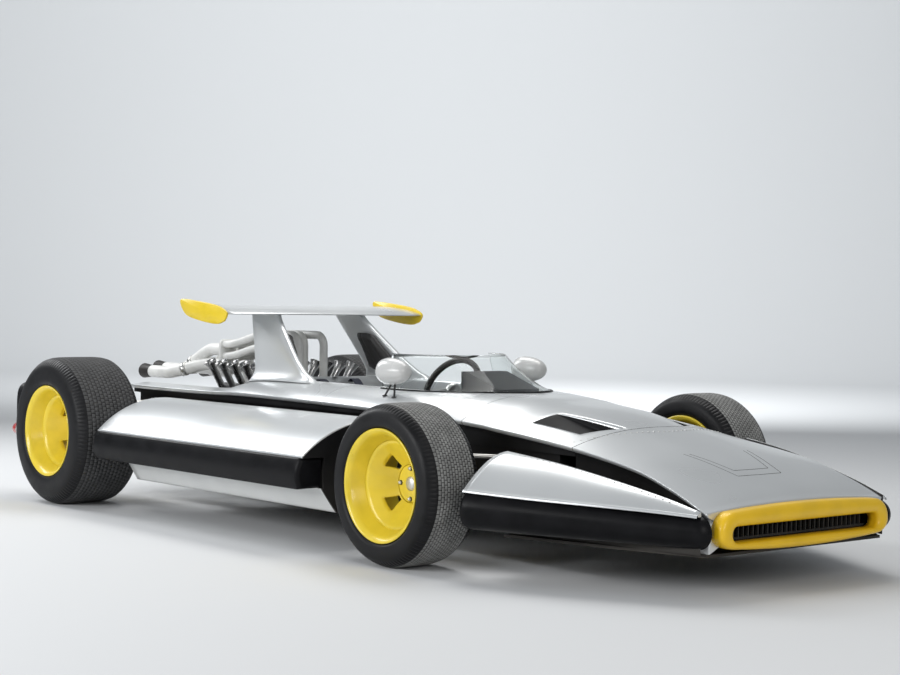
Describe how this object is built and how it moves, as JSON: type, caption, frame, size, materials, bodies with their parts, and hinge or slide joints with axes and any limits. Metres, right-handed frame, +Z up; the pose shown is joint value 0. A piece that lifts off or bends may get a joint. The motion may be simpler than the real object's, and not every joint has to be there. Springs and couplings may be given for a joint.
{
  "type": "open wheel racing car",
  "caption": "Open wheel single seat racing car with padded side pods, a broad delta nose, an open engine and a wing on fins; wheels roll and the front pair steers.",
  "frame": {"origin": "on the ground under the middle of the car's box", "axes": "+X forward to the nose, +Y to the car's left, +Z up"},
  "size_m": [4.175, 1.956, 0.951],
  "materials": {
    "body_silver": "satin silver paint",
    "dark_structure": "semi matt black paint",
    "rubber_pad": "black rubber skin over padding",
    "trim_yellow": "gloss yellow paint",
    "clear_screen": "clear acrylic sheet",
    "dash_black": "matt black",
    "seat_trim": "black vinyl over foam",
    "engine_metal": "cast alloy",
    "cam_dark": "crackle black",
    "trumpet_metal": "polished alloy",
    "exhaust_white": "white heat paint",
    "pipe_black": "burnt black",
    "steel": "bright steel",
    "lamp_red": "red lens",
    "tyre": "matt black rubber"
  },
  "bodies": {
    "chassis": {"floor_pan": "dark_structure", "monocoque": "dark_structure", "cockpit_shell": "body_silver", "front_hood": "body_silver", "nose_cone": "body_silver", "nose_ring": "trim_yellow", "grille": "dark_structure", "radiator": "dark_structure", "front_pods": "body_silver", "front_rubber": "rubber_pad", "side_pods": "body_silver", "side_rubber": "rubber_pad", "side_skirts": "body_silver", "arch_liners": "dark_structure", "windscreen": "clear_screen", "dashboard": "dash_black", "seat": "seat_trim", "head_pads": "seat_trim", "fins": "body_silver", "wing": "body_silver", "end_plates": "trim_yellow", "mirrors": "body_silver", "engine_block": "engine_metal", "cam_covers": "cam_dark", "intakes": "trumpet_metal", "headers": "exhaust_white", "exhausts": "exhaust_white", "tail_pipes": "pipe_black", "gearbox": "engine_metal", "rear_frame": "dark_structure", "rear_beam": "dark_structure", "rear_rubber": "rubber_pad", "tail_lamps": "lamp_red", "wishbones": "steel", "rear_suspension": "steel"},
    "steering_wheel": {"steering_wheel": "seat_trim"},
    "steering_rack": {"steering_rack": "steel"},
    "knuckle_right": {"knuckle_right": "engine_metal"},
    "knuckle_left": {"knuckle_left": "engine_metal"},
    "wheel_front_right": {"rim_front_right": "trim_yellow", "tyre_front_right": "tyre"},
    "wheel_front_left": {"rim_front_left": "trim_yellow", "tyre_front_left": "tyre"},
    "wheel_rear_right": {"rim_rear_right": "trim_yellow", "tyre_rear_right": "tyre", "driveshaft_right": "steel"},
    "wheel_rear_left": {"rim_rear_left": "trim_yellow", "tyre_rear_left": "tyre", "driveshaft_left": "steel"}
  },
  "joints": [
    {"name": "steer_right", "type": "hinge", "parent": "chassis", "child": "knuckle_right", "pos_m": [0.8725, -0.7, 0.297], "axis": [0, 0, 1], "range_deg": [-18, 18]},
    {"name": "steer_left", "type": "hinge", "parent": "chassis", "child": "knuckle_left", "pos_m": [0.8725, 0.7, 0.297], "axis": [0, 0, 1], "range_deg": [-18, 18]},
    {"name": "rack_slide", "type": "slide", "parent": "chassis", "child": "steering_rack", "axis": [0, 1, 0], "range_m": [-0.0315, 0.0315]},
    {"name": "steering_wheel_turn", "type": "hinge", "parent": "chassis", "child": "steering_wheel", "pos_m": [0.1933, 0, 0.585], "axis": [-0.925, 0, 0.3801], "range_deg": [-135, 135]},
    {"name": "front_right_spin", "type": "hinge", "parent": "knuckle_right", "child": "wheel_front_right", "pos_m": [0.8725, -0.797, 0.297], "axis": [0, 1, 0], "continuous": true},
    {"name": "rear_right_spin", "type": "hinge", "parent": "chassis", "child": "wheel_rear_right", "pos_m": [-1.5275, -0.812, 0.337], "axis": [0, 1, 0], "continuous": true},
    {"name": "front_left_spin", "type": "hinge", "parent": "knuckle_left", "child": "wheel_front_left", "pos_m": [0.8725, 0.797, 0.297], "axis": [0, 1, 0], "continuous": true},
    {"name": "rear_left_spin", "type": "hinge", "parent": "chassis", "child": "wheel_rear_left", "pos_m": [-1.5275, 0.812, 0.337], "axis": [0, 1, 0], "continuous": true}
  ],
  "couplings": [
    {"joint": "steer_left", "follows": "steer_right", "ratio": 1},
    {"joint": "rack_slide", "follows": "steer_right", "m_per_rad": -0.1},
    {"joint": "steering_wheel_turn", "follows": "steer_right", "ratio": 7.5}
  ]
}
